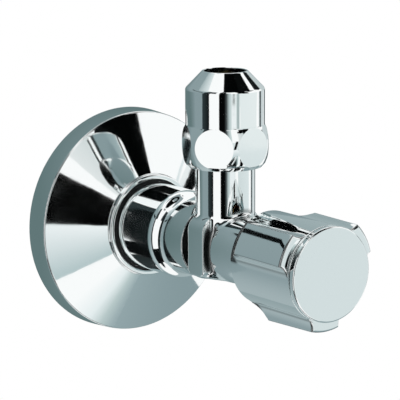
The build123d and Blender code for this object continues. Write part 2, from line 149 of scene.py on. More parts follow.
def card(name, azimuths, elevations, codes, distance, lean=0.0, upright=False):
    """Curved card around the valve that only mirrors see: its points lie at a distance in the directions
    (cos e sin a, -cos e cos a, sin e), and a lean adds so many degrees to a for each degree of e. Its paint
    runs from the first colour to the second along a, or along e where it is upright."""
    wide = np.linspace(0, 1, 17)[:, None]
    high = np.linspace(0, 1, 9)[None]
    rise = elevations[0] + (elevations[1] - elevations[0]) * high + 0 * wide
    angle = np.radians(azimuths[0] + (azimuths[1] - azimuths[0]) * wide + lean * rise)
    rise = np.radians(rise)
    points = np.stack([np.cos(rise) * np.sin(angle), -np.cos(rise) * np.cos(angle), np.sin(rise)], axis=-1)
    points = distance * points.reshape(-1, 3) + np.array(studio_centre)
    faces = grid_faces(wide.size, high.size, wrap_rows=False, wrap_columns=False, flip=True)
    first, second = np.array(linear(codes[0])), np.array(linear(codes[1]))
    share = (high + 0 * wide if upright else wide + 0 * high).reshape(-1, 1)
    hang_card(name, points, faces, first + (second - first) * share)


# Azimuths and elevations are in degrees and distances in metres. The nearer of two cards hides the other.
card("card_grey_left", (-184, -104.5), (-14, 47), ("#88999d", "#8e9fa2"), 1.5, upright=True)
card("card_grey_left_low", (-184, -104.5), (-68, -14), ("#b9c6c8", "#8c9da1"), 1.5, upright=True)
card("card_pale_left_top", (-184, -100), (47, 63), ("#a3b3b5", "#dde6e7"), 1.5, upright=True)
card("card_grey_right", (112, 176), (-68, 42), ("#a8b7b9", "#93a4a7"), 1.5)
card("card_black_left", (-104.5, -82.3), (-54, 48), ("#303b3d", "#0c0f10"), 0.35)
card("card_dark_back", (117, 172), (-21, -3), ("#4a5557", "#0c0f10"), 1.25)
card("card_black_left_low", (-104, -63), (-66, -31), ("#0a0c0d", "#0a0c0d"), 1.25)
card("card_dark_left_top", (-104, -66), (33, 58), ("#3a4446", "#2c3436"), 1.25)
card("card_black_camera", (-54, -38), (-50, 57), ("#040505", "#070808"), 1.3)
card("card_camera_fade", (-38, -32), (-50, 57), ("#070808", "#454c4d"), 1.3)
card("card_front_fade", (-32, -24), (-34, 42), ("#454c4d", "#bccaca"), 1.4)
card("card_pale_front", (-24, -18), (-34, 42), ("#bccaca", "#d4dede"), 1.4)
card("card_pale_band", (-18, 70), (-8, 10), ("#dde5e5", "#edf1f1"), 3.3)
card("card_pale_low", (-20, 2), (-31.5, -8), ("#b4c6c8", "#f2f6f7"), 3.3, upright=True)
card("card_black_front", (-12.4, -5.8), (-7.6, 12.6), ("#020202", "#020202"), 3.0, lean=0.36)
card("card_nut_streak", (-4.5, 1), (-9.4, -6.4), ("#e2eaea", "#8fa1a2"), 2.9)
card("card_nut_streak_end", (1, 6.5), (-9.4, -6.4), ("#8fa1a2", "#e2eaea"), 2.9)
card("card_nut_pale", (8, 66), (-8.6, -5.8), ("#e6eded", "#e9efef"), 1.35)
card("card_pale_right", (0, 18), (10, 31), ("#e4e8e8", "#c6d0d0"), 1.4)
card("card_black_right", (18, 40), (14, 52), ("#030404", "#030404"), 1.2)
card("card_black_right_top", (6, 18), (31, 52), ("#050606", "#030404"), 1.2)
card("card_black_top", (5, 46), (50, 77), ("#030404", "#030404"), 1.2)
card("card_black_top_left", (-50, 5), (59, 74), ("#040505", "#040505"), 1.2)
card("card_black_top_right", (46, 77), (39, 68), ("#0a0c0c", "#0a0c0c"), 1.3)
card("card_dark_side", (89, 106), (26, 42), ("#15191a", "#15191a"), 1.25)
card("card_pale_side", (99, 131), (-4, 27), ("#c6d0d1", "#c0cacb"), 1.4)
card("card_dark_line", (82, 89), (-21, 13), ("#0c0f10", "#0c0f10"), 1.3)
card("card_grey_side", (78, 106), (-20, 12), ("#c3cdcf", "#c8d1d3"), 1.35)
card("card_pale_face", (14, 66), (-31, 13), ("#d2dcdd", "#dde6e7"), 1.4)
card("card_floor_white", (4, 18), (-63, -42), ("#ffffff", "#eaf1f2"), 1.3)
card("card_floor_fade", (18, 27), (-63, -42), ("#eaf1f2", "#bccbcb"), 1.3)
card("card_floor_fade_end", (27, 37), (-63, -42), ("#bccbcb", "#9badb1"), 1.3)
card("card_floor_grey", (37, 112), (-76, -31), ("#96a8ac", "#7a8d91"), 1.35)
card("card_floor_dark", (-76, 52), (-80, -62), ("#262c2d", "#2f3637"), 1.25)
card("card_black_behind", (-168, -112), (31.6, 36), ("#0a0c0d", "#0a0c0d"), 1.45)
card("card_black_high", (0.5, 6), (32, 36.5), ("#0a0c0d", "#0a0c0d"), 1.2)
card("card_black_edge", (70.4, 78), (1, 9), ("#060707", "#060707"), 1.3)
card("card_ceiling", (-180, 180), (70, 90), ("#8d999c", "#8d999c"), 1.4)
card("card_ceiling_white", (-119, -48), (64, 90), ("#ffffff", "#ffffff"), 1.3)
card("card_ceiling_black", (-48, 60), (68, 90), ("#030404", "#030404"), 1.15)

# An oval card close behind the rosette, where the wall would be, which fades towards its edge.
behind_place, behind_squash, behind_spokes = 0.016, 0.75, 60
behind_rings = np.array([0.001, 0.046, 0.082])[:, None]
behind_codes = ("#64797a", "#64797a", "#8a9b9f")
turns = np.radians(np.arange(behind_spokes) * 360 / behind_spokes)[None]
behind = np.stack(
    [
        behind_rings * np.cos(turns),
        behind_place + 0 * behind_rings * turns,
        behind_squash * behind_rings * np.sin(turns),
    ],
    axis=-1,
)
behind_faces = grid_faces(len(behind_rings), behind_spokes, wrap_rows=False, flip=True)
behind_paint = np.repeat([linear(code) for code in behind_codes], behind_spokes, axis=0)
hang_card("card_behind", behind.reshape(-1, 3), behind_faces, behind_paint)

key = bpy.data.lights.new("soft key", "AREA")
key.energy = 6.0
key.size = 0.8
key_lamp = bpy.data.objects.new("soft key", key)
key_lamp.location = (-0.5, -0.5, 0.9)
towards = Vector(studio_centre) - key_lamp.location
key_lamp.rotation_euler = towards.to_track_quat("-Z", "Y").to_euler()
key_lamp.visible_glossy = False
scene.collection.objects.link(key_lamp)

lens = bpy.data.cameras.new("camera")
lens.sensor_width = 36.0
lens.lens = 202.3
camera = bpy.data.objects.new("camera", lens)
camera.location = (-0.3175, -0.4684, 0.1139)
yaw, pitch, roll = math.radians(-36.12), math.radians(-10.97), math.radians(-0.24)
camera.matrix_world = (
    Matrix.Translation(camera.location)
    @ Matrix.Rotation(yaw, 4, "Z")
    @ Matrix.Rotation(math.pi / 2 + pitch, 4, "X")
    @ Matrix.Rotation(roll, 4, "Z")
)
scene.collection.objects.link(camera)
scene.camera = camera

# Valve body
# One brass forging, turned, polished and chromed: sleeve, barrel, a crossing with two flat pads, and the
# collar that the headwork screws into. Its blends are soft from forging and polishing, and only turned
# edges are crisp. Sizes are in millimetres, and along the inlet axis they are reaches out from the wall.
body_sleeve = dict(radius=10.95, back=8.0, front=27.2, chamfer=0.5, chamfer_length=1.1)
body_cove = dict(radius=3.33, reach=30.9)
body_barrel = dict(radius=9.2, front=38.2)
body_waist = dict(radius=6.9, round=0.9)
body_collar = dict(radius=8.2, back=48.3, front=64.0)
body_keel_top, body_keel_overlap = -5.8, 0.5
body_pad = dict(half_span=9.0, half_width=3.1, bottom=-6.3, corner=1.4, top=7.8, shoulder=3.4)
outlet_reach = 43.6
stem_radius, stem_edge = 7.2, 0.1
stem_foot, stem_cut = body_keel_top - 1.0, 20.0
stem_bore = (4.0, 0, 40)
inlet_bores = dict(
    inlet=(6.0, 0, 33.6), throat=(4.0, 0, 60), chamber=(5.9, 37.6, 60), headwork=(7.0, 50, 70)
)
bore_round, bore_edge = 0.1, 0.15
edge_round = 0.28
stem_fillet, pad_fillet = 1.2, 0.8
body_low, body_high, body_step = (-11.4, -64.6, -11.4), (11.4, -7.6, 20.6), 0.31
# The body's painted shade: the chrome is painted near black where a feeler along the normal comes near the
# body.
crevice_feeler, crevice_limit, crevice_span, painted_crevice_shade = 2.5, 0.84, 0.5, 0.9


def joined(first, second, size):
    """Union of two distance fields with a round fillet of a given radius in the inner corner."""
    sharp = np.maximum(size, np.minimum(first, second))
    return sharp - np.hypot(np.maximum(size - first, 0), np.maximum(size - second, 0))


def common(first, second, size):
    """Intersection of two distance fields with its outer edge rounded by a given radius."""
    return -joined(-first, -second, size)


def rod(radial, along, radius, start, end, size):
    """Distance to a round bar between two ends, its rims rounded."""
    return common(radial - radius, np.abs(along - (start + end) / 2) - (end - start) / 2, size)


def round_corner(across, up, size):
    """Distance to a quarter plane whose corner is rounded by a given radius."""
    a, b = across + size, up + size
    return np.hypot(np.maximum(a, 0), np.maximum(b, 0)) + np.minimum(np.maximum(a, b), 0) - size


def body_field(x, y, z):
    """Signed distance to the body: turned parts about the inlet axis, the stem about the outlet axis, and
    the pads between them, joined with round fillets, and then the water ways taken out. A bore is given by
    its radius, start and end."""
    reach = -y
    radial = np.hypot(x, z)
    upright = np.hypot(x, reach - outlet_reach)

    slope = math.hypot(body_sleeve["chamfer"], body_sleeve["chamfer_length"])
    chamfer = (radial - body_sleeve["radius"]) * body_sleeve["chamfer_length"] / slope
    chamfer = chamfer + (reach - body_sleeve["front"]) * body_sleeve["chamfer"] / slope
    hollow = body_cove["radius"] - np.hypot(
        radial - body_barrel["radius"] - body_cove["radius"], reach - body_cove["reach"]
    )
    solid = rod(radial, reach, body_sleeve["radius"], body_sleeve["back"], body_cove["reach"], edge_round)
    solid = common(solid, chamfer, edge_round)
    solid = common(solid, hollow, edge_round)
    barrel = rod(
        radial, reach, body_barrel["radius"], body_sleeve["back"], body_barrel["front"], edge_round
    )
    solid = np.minimum(solid, barrel)
    waist = rod(radial, reach, body_waist["radius"], body_sleeve["back"], body_collar["front"], edge_round)
    solid = joined(solid, waist, body_waist["round"])
    collar = rod(
        radial, reach, body_collar["radius"], body_collar["back"], body_collar["front"], edge_round
    )
    solid = joined(solid, collar, body_waist["round"])

    fall = (body_barrel["radius"] - body_collar["radius"]) / (body_collar["back"] - body_barrel["front"])
    keel = radial - body_barrel["radius"] + fall * (reach - body_barrel["front"])
    keel = common(keel, z - body_keel_top, edge_round)
    middle = (body_barrel["front"] + body_collar["back"]) / 2
    half = (body_collar["back"] - body_barrel["front"]) / 2 + body_keel_overlap
    keel = np.maximum(keel, np.abs(reach - middle) - half)
    solid = joined(solid, keel, edge_round)

    stem = rod(upright, z, stem_radius, stem_foot, stem_cut, stem_edge)
    solid = joined(solid, stem, stem_fillet)
    shoulder = round_corner(np.abs(x) - body_pad["half_span"], z - body_pad["top"], body_pad["shoulder"])
    foot = round_corner(
        np.abs(reach - outlet_reach) - body_pad["half_width"], body_pad["bottom"] - z, body_pad["corner"]
    )
    solid = joined(solid, common(shoulder, foot, edge_round), pad_fillet)

    way = rod(upright, z, *stem_bore, bore_round)
    for bore in inlet_bores.values():
        way = np.minimum(way, rod(radial, reach, *bore, bore_round))
    return common(solid, -way, bore_edge)


def field_slope(field, points, step=0.01):
    """Gradient of a distance field at points, by central differences."""
    slopes = []
    for shift in np.eye(3) * step:
        slopes.append((field(*(points + shift).T) - field(*(points - shift).T)) / (2 * step))
    return np.stack(slopes, axis=1)


def field_mesh(field, low, high, step, rounds=8, least_slope=0.05):
    """Mesh of a distance field's zero surface: one vertex in each grid cell that the surface crosses, moved
    onto the surface along the gradient in a few rounds, and one quad around each grid edge whose ends lie
    on either side of it. Also the unit normals at the vertices."""
    axes = [np.arange(a, b + step, step) for a, b in zip(low, high)]
    inside = field(*np.meshgrid(*axes, indexing="ij")) < 0
    wide, deep, tall = np.array(inside.shape) - 1
    counts = sum(
        inside[i : wide + i, j : deep + j, k : tall + k].astype(int)
        for i in (0, 1)
        for j in (0, 1)
        for k in (0, 1)
    )
    cells = np.argwhere((counts > 0) & (counts < 8))
    index = np.full(counts.shape, -1)
    index[tuple(cells.T)] = np.arange(len(cells))
    points = np.array(low) + (cells + 0.5) * step
    for _ in range(rounds):
        slopes = field_slope(field, points)
        length = np.maximum((slopes**2).sum(axis=1), least_slope)
        move = (field(*points.T) / length)[:, None] * slopes
        points = points - np.clip(move, -0.5 * step, 0.5 * step)
    faces = []
    for axis in range(3):
        one, two = [a for a in range(3) if a != axis]
        first = np.take(inside, range(inside.shape[axis] - 1), axis)
        second = np.take(inside, range(1, inside.shape[axis]), axis)
        edges = np.argwhere(first != second)
        edges = edges[(edges[:, one] > 0) & (edges[:, two] > 0)]
        edges = edges[(edges[:, one] < counts.shape[one]) & (edges[:, two] < counts.shape[two])]
        starts_inside = first[tuple(edges.T)]
        ring = []
        for a, b in ((1, 1), (0, 1), (0, 0), (1, 0)):
            cell = edges.copy()
            cell[:, one] -= a
            cell[:, two] -= b
            ring.append(index[tuple(cell.T)])
        quads = np.stack(ring, axis=1)
        flip = starts_inside if axis == 1 else ~starts_inside
        quads[flip] = quads[flip][:, ::-1]
        faces.append(quads)
    slopes = field_slope(field, points)
    normals = slopes / np.maximum(np.linalg.norm(slopes, axis=1), 1e-6)[:, None]
    return points, np.concatenate(faces), normals


def add_piece(
    name,
    points,
    faces,
    body,
    material,
    normals=None,
    corner_normals=None,
    sharp_deg=None,
    painted_shade=None,
):
    """Mesh object from millimetre points and faces, with its own normals or with edges sharp over an angle,
    and with the share of painted shade that each point gets."""
    mesh = bpy.data.meshes.new(name)
    polygons = faces if isinstance(faces, list) else faces.tolist()
    mesh.from_pydata((np.asarray(points) * 0.001).tolist(), [], polygons)
    mesh.polygons.foreach_set("use_smooth", np.ones(len(mesh.polygons), bool))
    mesh.update()
    if normals is not None:
        mesh.normals_split_custom_set_from_vertices(normals.tolist())
    if corner_normals is not None:
        mesh.normals_split_custom_set(corner_normals.tolist())
    if sharp_deg is not None:
        mesh.set_sharp_from_angle(angle=math.radians(sharp_deg))
    # The share of painted shade, which the chrome material paints near black.
    if painted_shade is not None:
        shares = mesh.attributes.new("painted_shade", "FLOAT", "POINT")
        shares.data.foreach_set("value", np.asarray(painted_shade, np.float32))
    mesh.materials.append(material)
    piece = bpy.data.objects.new(name, mesh)
    scene.collection.objects.link(piece)
    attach(piece, body)
    return piece


def chrome(name, tint):
    """Polished chrome plate: a mirror with the faint waviness of buffed metal and a thin uneven haze.
    Each point's share of painted shade paints it near black and makes it rougher: painted shade in tight
    corners and painted dark reflections on the handle's lobes."""
    haze_mm, wave_mm = 5.556, 3.846
    material, chrome_tree = new_material(name)
    place = add_node(chrome_tree, "ShaderNodeTexCoord")
    haze = add_node(
        chrome_tree,
        "ShaderNodeTexNoise",
        {"Vector": place.outputs["Object"], "Scale": 1000 / haze_mm, "Detail": 3.0, "Roughness": 0.6},
    )
    rough = add_node(
        chrome_tree,
        "ShaderNodeMapRange",
        {"Value": haze.outputs["Fac"], "From Min": 0.3, "From Max": 0.8, "To Min": 0.035, "To Max": 0.075},
    )
    waves = add_node(
        chrome_tree,
        "ShaderNodeTexNoise",
        {"Vector": place.outputs["Object"], "Scale": 1000 / wave_mm, "Detail": 1.0},
    )
    bump = add_node(
        chrome_tree,
        "ShaderNodeBump",
        {"Strength": 0.02, "Distance": 0.0004, "Height": waves.outputs["Fac"]},
    )
    painted_shade = add_node(chrome_tree, "ShaderNodeAttribute", attribute_name="painted_shade")
    # Painted shade: where the share is high the plate is painted near black (#15181a) and made rougher.
    plate = add_node(
        chrome_tree,
        "ShaderNodeMix",
        {"Factor": painted_shade.outputs["Fac"], "A": linear(tint), "B": linear("#15181a")},
        data_type="RGBA",
    )
    dull = add_node(
        chrome_tree,
        "ShaderNodeMix",
        {"Factor": painted_shade.outputs["Fac"], "A": rough.outputs["Result"], "B": 0.4},
    )
    surface = add_node(
        chrome_tree,
        "ShaderNodeBsdfPrincipled",
        {
            "Base Color": plate.outputs["Result"],
            "Metallic": 1.0,
            "Roughness": dull.outputs["Result"],
            "Normal": bump.outputs["Normal"],
        },
    )
    add_node(chrome_tree, "ShaderNodeOutputMaterial", {"Surface": surface.outputs["BSDF"]})
    return material


chromed_brass = chrome("chromed brass", "#f8fbfb")
body_points, body_faces, body_normals = field_mesh(body_field, body_low, body_high, body_step)
# In tight corners the body itself comes near the end of a feeler that stands on it along the normal,
# and there the chrome gets painted shade.
clear = body_field(*(body_points + crevice_feeler * body_normals).T) / crevice_feeler
crossing = add_piece(
    "valve_body_crossing",
    body_points,
    body_faces,
    "valve",
    chromed_brass,
    normals=body_normals,
    painted_shade=painted_crevice_shade * np.clip((crevice_limit - clear) / crevice_span, 0, 1),
)
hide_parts("valve_body")

# Threads of the body
# The inlet thread is a G 1/2 pipe thread that screws into the wall elbow, and the outlet thread is a G 3/8
# that takes the nut. Both are cut on the same forging before it is chromed.
inlet_thread = dict(radius=10.478, depth=1.162, pitch=1.814, start=-14.0, end=8.0, bore=6.0)
outlet_thread = dict(radius=8.331, depth=0.856, pitch=1.337, start=33.0, end=19.9, bore=5.1)
thread_columns, thread_rows, thread_lead = 96, 12, 1.2
thread_sharp = 40


def threaded_mesh(radius, depth, pitch, start, end, bore):
    """Tube with a thread outside, as a closed grid of radii, angles and places along it: the outer radius
    falls from the crest by half the depth times one minus the cosine of the helix phase. It fades out at
    the end and is cut to a cone at the start, and the bore inside is plain."""
    rows = int(abs(end - start) / pitch * thread_rows)
    along = np.linspace(start, end, rows)[:, None]
    angle = (np.arange(thread_columns) * 2 * math.pi / thread_columns)[None]
    fade = np.clip(np.abs(end - along) / pitch, 0, 1)
    phase = 2 * math.pi * along / pitch - angle
    outer = radius - fade * depth / 2 * (1 - np.cos(phase))
    outer = np.minimum(outer, radius - depth + np.abs(along - start) * thread_lead)
    radial = np.concatenate([outer, np.full((2, thread_columns), bore)])
    along = np.concatenate([along, [[end], [start]]]) + 0 * angle
    faces = grid_faces(len(radial), thread_columns)
    return radial, angle, along, faces[:, ::-1] if end > start else faces


radial, angle, along, inlet_faces = threaded_mesh(**inlet_thread)
inlet_points = np.stack([radial * np.cos(angle), -along, radial * np.sin(angle)], axis=-1).reshape(-1, 3)
add_piece(
    "inlet_thread",
    inlet_points,
    inlet_faces,
    "valve",
    chromed_brass,
    sharp_deg=thread_sharp,
)
radial, angle, along, outlet_faces = threaded_mesh(**outlet_thread)
outlet_points = np.stack([radial * np.cos(angle), radial * np.sin(angle), along], axis=-1).reshape(-1, 3)
add_piece(
    "outlet_thread",
    outlet_points + np.array([0, -outlet_reach, 0]),
    outlet_faces,
    "valve",
    chromed_brass,
    sharp_deg=thread_sharp,
)

# Wall rosette
# Brass sheet pressed into a cone with a deep rim and a neck rolled back along the sleeve, polished and
# chromed. It slides on the sleeve and covers the hole in the tiles.
rosette_back, rosette_front = 28.45, 28.06
rosette_wall = 0.8
rosette_rim = 6.28
rosette_neck = dict(radius=12.97, foot=12.3, end=13.4)
rosette_hole = dict(radius=11.6, back=9.6)
rosette_inside = dict(neck=12.4, foot=11.666, rim=5.738)
rosette_rounds = [0.15, 0.6, 0.25, 0.6, 0.6, 0.1, 0.1, 0.3, 0.2, 0.15]
rosette_columns = 256


def rounded_profile(corners, sizes, steps=6):
    """Closed outline of (radius, along) corners with rounded corners: points, and for each segment from a
    point to the next one the outward normals at its two ends, exact on straight runs and on arcs."""
    corners = np.asarray(corners, float)
    points, starts = [], []
    count = len(corners)
    for i in range(count):
        here, before, after = corners[i], corners[i - 1], corners[(i + 1) % count]
        inward = (here - before) / np.linalg.norm(here - before)
        outward = (after - here) / np.linalg.norm(after - here)
        if sizes[i] == 0:
            points.append(here)
            starts.append(None)
            continue
        bend = math.atan2(inward[0] * outward[1] - inward[1] * outward[0], inward @ outward)
        trim = sizes[i] * math.tan(abs(bend) / 2)
        side = np.array([-inward[1], inward[0]]) * np.sign(bend)
        centre = here - inward * trim + side * sizes[i]
        first = -side
        for k in range(steps + 1):
            turn = bend * k / steps
            ray = np.array(
                [
                    first[0] * math.cos(turn) - first[1] * math.sin(turn),
                    first[0] * math.sin(turn) + first[1] * math.cos(turn),
                ]
            )
            points.append(centre + sizes[i] * ray)
            starts.append(ray * np.sign(bend))
    points = np.array(points)
    run = np.roll(points, -1, axis=0) - points
    length = np.maximum(np.linalg.norm(run, axis=1), 1e-9)
    plain = np.stack([run[:, 1], -run[:, 0]], axis=1) / length[:, None]
    ends = starts[1:] + starts[:1]
    first = np.array([flat if start is None else start for flat, start in zip(plain, starts)])
    second = np.array([flat if end is None else end for flat, end in zip(plain, ends)])
    return points, first, second


def turned_mesh(profile, columns):
    """Surface swept by a closed outline around the inlet axis, as a grid that is closed both ways, with
    exact normals at every corner. Rows on the axis shrink to a pole."""
    points, first, second = profile
    angles = np.arange(columns) * 2 * math.pi / columns
    cosine, sine = np.cos(angles), np.sin(angles)

    def swept(pair, column_cos, column_sin):
        radial, along = pair[..., 0], pair[..., 1]
        return np.stack([radial * column_cos, -along + 0 * column_cos, radial * column_sin], axis=-1)

    rows = len(points)
    grid = swept(points[:, None, :], cosine[None], sine[None]).reshape(-1, 3)
    faces = grid_faces(rows, columns)
    turned_cos, turned_sin = np.roll(cosine, -1), np.roll(sine, -1)
    normals = np.stack(
        [
            swept(first[:, None, :], cosine[None], sine[None]),
            swept(second[:, None, :], cosine[None], sine[None]),
            swept(second[:, None, :], turned_cos[None], turned_sin[None]),
            swept(first[:, None, :], turned_cos[None], turned_sin[None]),
        ],
        axis=2,
    ).reshape(-1, 4, 3)
    on_axis = np.repeat(points[:, 0] == 0, columns)
    starts, ends = on_axis, np.repeat(np.roll(points[:, 0] == 0, -1), columns)
    pole = (np.arange(rows * columns) // columns) * columns
    faces = np.where(on_axis[faces], pole[faces], faces)
    used = np.unique(faces[~(starts & ends)])
    place = np.zeros(len(grid), int)
    place[used] = np.arange(len(used))
    grid, faces = grid[used], place[faces]
    parts = [
        (~starts & ~ends, [3, 2, 1, 0]),
        (starts & ~ends, [2, 1, 0]),
        (ends & ~starts, [3, 1, 0]),
    ]
    polygons = sum((faces[kept][:, order].tolist() for kept, order in parts), [])
    corners = np.concatenate([normals[kept][:, order].reshape(-1, 3) for kept, order in parts])
    return grid, polygons, corners


rosette_profile = rounded_profile(
    [
        (rosette_back, 0),
        (rosette_front, rosette_rim),
        (rosette_neck["radius"], rosette_neck["foot"]),
        (rosette_neck["radius"], rosette_neck["end"]),
        (rosette_hole["radius"], rosette_neck["end"]),
        (rosette_hole["radius"], rosette_hole["back"]),
        (rosette_inside["neck"], rosette_hole["back"]),
        (rosette_inside["neck"], rosette_inside["foot"]),
        (rosette_front - rosette_wall, rosette_inside["rim"]),
        (rosette_back - rosette_wall, 0),
    ],
    rosette_rounds,
)
rosette_points, rosette_faces, rosette_normals = turned_mesh(rosette_profile, rosette_columns)
rosette = add_piece(
    "wall_rosette_shell",
    rosette_points,
    rosette_faces,
    "rosette",
    chromed_brass,
    corner_normals=rosette_normals,
)
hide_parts("wall_rosette")


def moulded(name, tints, grain_mm, roughness):
    """Moulded or pressed soft stuff: two close tints mottled by a noise of the grain's size, which also
    gives it a fine relief."""
    material, soft_tree = new_material(name)
    place = add_node(soft_tree, "ShaderNodeTexCoord")
    grain = add_node(
        soft_tree,
        "ShaderNodeTexNoise",
        {"Vector": place.outputs["Object"], "Scale": 1000 / grain_mm, "Detail": 4.0, "Roughness": 0.6},
    )
    tint = add_node(
        soft_tree,
        "ShaderNodeMix",
        {"Factor": grain.outputs["Fac"], "A": linear(tints[0]), "B": linear(tints[1])},
        data_type="RGBA",
    )
    bump = add_node(
        soft_tree, "ShaderNodeBump", {"Strength": 0.25, "Distance": 0.00003, "Height": grain.outputs["Fac"]}
    )
    surface = add_node(
        soft_tree,
        "ShaderNodeBsdfPrincipled",
        {"Base Color": tint.outputs["Result"], "Roughness": roughness, "Normal": bump.outputs["Normal"]},
    )
    add_node(soft_tree, "ShaderNodeOutputMaterial", {"Surface": surface.outputs["BSDF"]})
    return material


def dress(material, *nodes):
    """Gives pieces of the frame that show as they are a material."""
    for node in nodes:
        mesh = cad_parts[node].data
        mesh.materials.clear()
        mesh.materials.append(material)


nitrile_rubber = moulded("nitrile rubber", ("#1b1c1d", "#111213"), 0.25, 0.62)
dress(nitrile_rubber, "rosette_grip_ring")

# Headwork
# Turned brass housing that screws into the collar against a fibre ring, with a piston and a spindle inside.
# The spindle turns in O-rings behind a steel clip and drives the piston, whose washer closes on the seat.


def turned_metal(name, tints, feed_mm, roughness):
    """Metal turned from bar: the lathe's fine feed marks as a ripple along the inlet axis, and a mottled
    sheen."""
    stain_mm = 3.0
    material, bar_tree = new_material(name)
    place = add_node(bar_tree, "ShaderNodeTexCoord")
    stain = add_node(
        bar_tree,
        "ShaderNodeTexNoise",
        {"Vector": place.outputs["Object"], "Scale": 1000 / stain_mm, "Detail": 3.0, "Roughness": 0.55},
    )
    tint = add_node(
        bar_tree,
        "ShaderNodeMix",
        {"Factor": stain.outputs["Fac"], "A": linear(tints[0]), "B": linear(tints[1])},
        data_type="RGBA",
    )
    marks = add_node(
        bar_tree,
        "ShaderNodeTexWave",
        {"Vector": place.outputs["Object"], "Scale": 1000 / feed_mm * math.pi / 10, "Distortion": 0.4},
        bands_direction="Y",
    )
    bump = add_node(
        bar_tree, "ShaderNodeBump", {"Strength": 0.12, "Distance": 0.00002, "Height": marks.outputs["Fac"]}
    )
    surface = add_node(
        bar_tree,
        "ShaderNodeBsdfPrincipled",
        {
            "Base Color": tint.outputs["Result"],
            "Metallic": 1.0,
            "Roughness": roughness,
            "Normal": bump.outputs["Normal"],
        },
    )
    add_node(bar_tree, "ShaderNodeOutputMaterial", {"Surface": surface.outputs["BSDF"]})
    return material


brass = turned_metal("turned brass", ("#d0ab5e", "#b98f48"), 0.12, 0.28)
stainless_steel = turned_metal("stainless steel", ("#bfc2c3", "#a6abad"), 0.08, 0.32)
vulcanised_fibre = moulded("vulcanised fibre", ("#8c402d", "#6f2c1d"), 0.4, 0.8)
acetal = moulded("acetal", ("#ebe9e1", "#dedbd0"), 0.8, 0.42)
dress(brass, "headwork_housing", "valve_piston", "spindle")
dress(vulcanised_fibre, "headwork_gasket")
dress(nitrile_rubber, "piston_o_ring", "seat_washer", "spindle_o_ring_inner", "spindle_o_ring_outer")
dress(stainless_steel, "seat_screw", "retaining_clip")
dress(acetal, "thrust_washer")

# Rings under the nut
# A soft brass olive that the nut squeezes onto the tube, and a plain steel ring above it that keeps the
# olive from turning with the nut.
dress(brass, "olive")
dress(stainless_steel, "pressure_ring")

# Compression nut
# Forged hexagon nut, turned to a ball over its flats and to a long cone that closes on the tube, polished
# and chromed. Each flat cuts the ball in a full circle.
nut_flat = 9.5
nut_ball_radius = 10.62
nut_ball_height = 24.9
nut_band = (20.4, 29.648)
nut_shoulder = [(nut_flat, 38.08), (9.46, 38.2), (9.39, 38.34), (9.307, 38.5)]
nut_lip = [(5.74, 42.2), (5.6, 42.36), (5.5, 42.45), (5.38, 42.5), (5.2, 42.5), (5.1, 42.4)]
nut_mouth = dict(radius=5.1, bottom=37.1)
nut_recess = dict(radius=7.7, bottom=35.08)
nut_bore = dict(radius=8.381, top=34.4)
nut_foot = dict(radius=8.83, bottom=19.5)
nut_hold = 0.2
nut_turn = math.radians(37.4)
nut_columns, nut_sides = 40, 24
nut_rings, nut_disc_rings = 10, 4
nut_weld = 0.002
nut_sharp = 18


def held(first, last):
    """The two ends of a straight run, and between them two points close to the ends, so that the smooth
    shading of the rounded ends doesn't bend the run."""
    first, last = np.array(first), np.array(last)
    step = (last - first) * nut_hold / np.linalg.norm(last - first)
    return [first, first + step, last - step, last]


